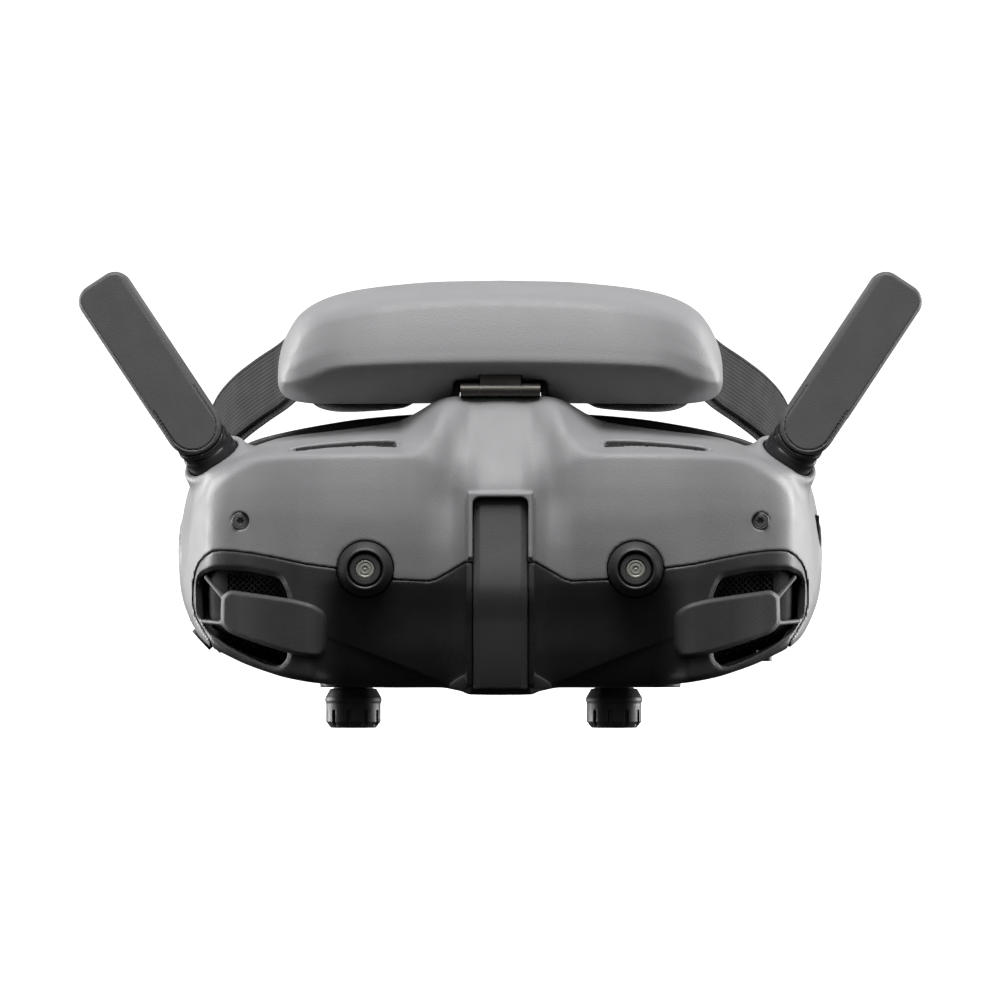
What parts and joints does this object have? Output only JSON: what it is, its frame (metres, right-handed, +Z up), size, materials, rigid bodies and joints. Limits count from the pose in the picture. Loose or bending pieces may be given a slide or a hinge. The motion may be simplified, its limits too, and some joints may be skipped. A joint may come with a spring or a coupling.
{
  "type": "fpv goggles",
  "caption": "Head-worn video goggles with folding paddle antennas, hinged forehead pad, sliding focusable eyepieces, front cameras and a headband with a rear battery pod.",
  "frame": {"origin": "on the plane where the wearer's face meets the visor, midway between the eyes at pupil height", "axes": "+Y from the visor's front towards the wearer's head, +Z up, +X to the wearer's left"},
  "size_m": [0.222, 0.277, 0.1203],
  "materials": {
    "grey_shell": "fine moulded grain, soft touch",
    "black_shell": "fine moulded grain",
    "dark_plastic": "coarse moulded grain",
    "foam": "knitted cover over foam",
    "rubber": "matte rubber",
    "webbing": "ribbed elastic webbing",
    "hinge_metal": "dark anodised",
    "steel": "ground",
    "glass": "coated lens glass",
    "board": "solder mask",
    "panel": "display panel",
    "cell": "heat-shrink sleeve"
  },
  "bodies": {
    "visor": {"front_shell": "grey_shell", "front_visor": "black_shell", "bottom_cover": "black_shell", "rear_frame": "black_shell", "face_foam": "foam", "nose_flap": "rubber", "nose_bar": "dark_plastic", "camera_bezel_left": "dark_plastic", "camera_bezel_right": "dark_plastic", "camera_modules": "black_shell", "camera_glasses": "glass", "vent_plate_left": "dark_plastic", "vent_plate_right": "dark_plastic", "vent_meshes": "black_shell", "top_vent_meshes": "black_shell", "housing_screws": "steel", "mainboard": "board", "fan_case": "black_shell", "guide_rails": "steel", "hinge_base": "hinge_metal", "hinge_pin": "steel", "port_block": "black_shell", "control_pod": "grey_shell"},
    "fan": {"fan_rotor": "black_shell"},
    "port_flap": {"port_cover": "dark_plastic"},
    "stick_ring": {"joystick_gimbal": "steel"},
    "stick": {"joystick_stem": "black_shell"},
    "stick_cap": {"joystick_cap": "dark_plastic"},
    "back": {"back_button": "dark_plastic"},
    "link": {"link_button": "dark_plastic"},
    "carriage_left": {"lens_carriage_left": "black_shell", "display_panel_left": "panel"},
    "carriage_right": {"lens_carriage_right": "black_shell", "display_panel_right": "panel"},
    "pinion_left": {"focus_pinion_left": "steel"},
    "pinion_right": {"focus_pinion_right": "steel"},
    "knob_left": {"focus_knob_left": "dark_plastic"},
    "knob_right": {"focus_knob_right": "dark_plastic"},
    "eyepiece_left": {"eyepiece_barrel_left": "black_shell", "eyepiece_lens_left": "glass"},
    "eyepiece_right": {"eyepiece_barrel_right": "black_shell", "eyepiece_lens_right": "glass"},
    "collar_left": {"antenna_collar_left": "black_shell"},
    "collar_right": {"antenna_collar_right": "black_shell"},
    "paddle_left": {"antenna_paddle_left": "dark_plastic"},
    "paddle_right": {"antenna_paddle_right": "dark_plastic"},
    "headband": {"pad_shell": "grey_shell", "pad_core": "hinge_metal", "pad_cushion": "foam", "strap_left": "webbing", "strap_right": "webbing", "strap_lining": "foam", "battery_shell": "black_shell", "battery_cover": "grey_shell", "battery_cells": "cell", "battery_pad": "foam"},
    "power": {"power_button": "dark_plastic"},
    "dial": {"adjust_dial": "dark_plastic"}
  },
  "joints": [
    {"name": "forehead_tilt", "type": "hinge", "parent": "visor", "child": "headband", "pos_m": [0, -0.06, 0.04735], "axis": [1, 0, 0], "range_deg": [0, 60]},
    {"name": "antenna_swivel_left", "type": "hinge", "parent": "visor", "child": "collar_left", "pos_m": [-0.0754, -0.042, 0.029], "axis": [-0.4873, -0.4693, 0.7364], "range_deg": [-60, 60]},
    {"name": "antenna_fold_left", "type": "hinge", "parent": "collar_left", "child": "paddle_left", "pos_m": [-0.08124, -0.04763, 0.03783], "axis": [0, 1, 0], "range_deg": [-40, 25]},
    {"name": "antenna_swivel_right", "type": "hinge", "parent": "visor", "child": "collar_right", "pos_m": [0.0754, -0.042, 0.029], "axis": [0.4873, -0.4693, 0.7364], "range_deg": [-60, 60]},
    {"name": "antenna_fold_right", "type": "hinge", "parent": "collar_right", "child": "paddle_right", "pos_m": [0.08124, -0.04763, 0.03783], "axis": [0, 1, 0], "range_deg": [-25, 40]},
    {"name": "pupil_distance_left", "type": "slide", "parent": "visor", "child": "carriage_left", "axis": [1, 0, 0], "range_m": [0, 0.0088]},
    {"name": "pupil_distance_right", "type": "slide", "parent": "visor", "child": "carriage_right", "axis": [1, 0, 0], "range_m": [0, 0.0088]},
    {"name": "focus_left", "type": "hinge", "parent": "carriage_left", "child": "pinion_left", "pos_m": [-0.0389, -0.036, -0.024], "axis": [0, 0, 1], "range_deg": [-180, 60]},
    {"name": "focus_right", "type": "hinge", "parent": "carriage_right", "child": "pinion_right", "pos_m": [0.0301, -0.036, -0.024], "axis": [0, 0, 1], "range_deg": [-60, 180]},
    {"name": "knob_push_left", "type": "slide", "parent": "pinion_left", "child": "knob_left", "axis": [0, 0, 1], "range_m": [0, 0.002]},
    {"name": "knob_push_right", "type": "slide", "parent": "pinion_right", "child": "knob_right", "axis": [0, 0, 1], "range_m": [0, 0.002]},
    {"name": "eyepiece_focus_left", "type": "slide", "parent": "carriage_left", "child": "eyepiece_left", "axis": [0, 1, 0], "range_m": [-0.00628, 0.00209]},
    {"name": "eyepiece_focus_right", "type": "slide", "parent": "carriage_right", "child": "eyepiece_right", "axis": [0, 1, 0], "range_m": [-0.00628, 0.00209]},
    {"name": "fan_spin", "type": "hinge", "parent": "visor", "child": "fan", "pos_m": [0, -0.0683, 0.0125], "axis": [0, 1, 0], "continuous": true},
    {"name": "port_flap_open", "type": "hinge", "parent": "visor", "child": "port_flap", "pos_m": [0.08385, -0.0172, 0.0078], "axis": [0, 0, 1], "range_deg": [0, 100]},
    {"name": "joystick_tilt_up", "type": "hinge", "parent": "visor", "child": "stick_ring", "pos_m": [-0.07628, -0.036, -0.01605], "axis": [0, 1, 0], "range_deg": [-6, 6], "stiffness_Nm_per_rad": 0.02},
    {"name": "joystick_tilt_side", "type": "hinge", "parent": "stick_ring", "child": "stick", "pos_m": [-0.07628, -0.036, -0.01605], "axis": [0.6749, 0, -0.7379], "range_deg": [-6, 6], "stiffness_Nm_per_rad": 0.02},
    {"name": "joystick_press", "type": "slide", "parent": "stick", "child": "stick_cap", "axis": [0.7379, 0, 0.6749], "range_m": [0, 0.0003], "stiffness_N_per_m": 400},
    {"name": "back_press", "type": "slide", "parent": "visor", "child": "back", "axis": [0.7379, 0, 0.6749], "range_m": [0, 0.0006], "stiffness_N_per_m": 400},
    {"name": "link_press", "type": "slide", "parent": "visor", "child": "link", "axis": [0, 0, 1], "range_m": [0, 0.0006], "stiffness_N_per_m": 400},
    {"name": "power_press", "type": "slide", "parent": "headband", "child": "power", "axis": [-0.3746, -0.9272, 0], "range_m": [0, 0.0008], "stiffness_N_per_m": 500},
    {"name": "dial_turn", "type": "hinge", "parent": "headband", "child": "dial", "pos_m": [0, 0.19, 0.015], "axis": [0, 1, 0], "range_deg": [-180, 180]}
  ],
  "couplings": [
    {"joint": "focus_left", "follows": "eyepiece_focus_left", "rad_per_m": 500},
    {"joint": "focus_right", "follows": "eyepiece_focus_right", "rad_per_m": -500}
  ]
}
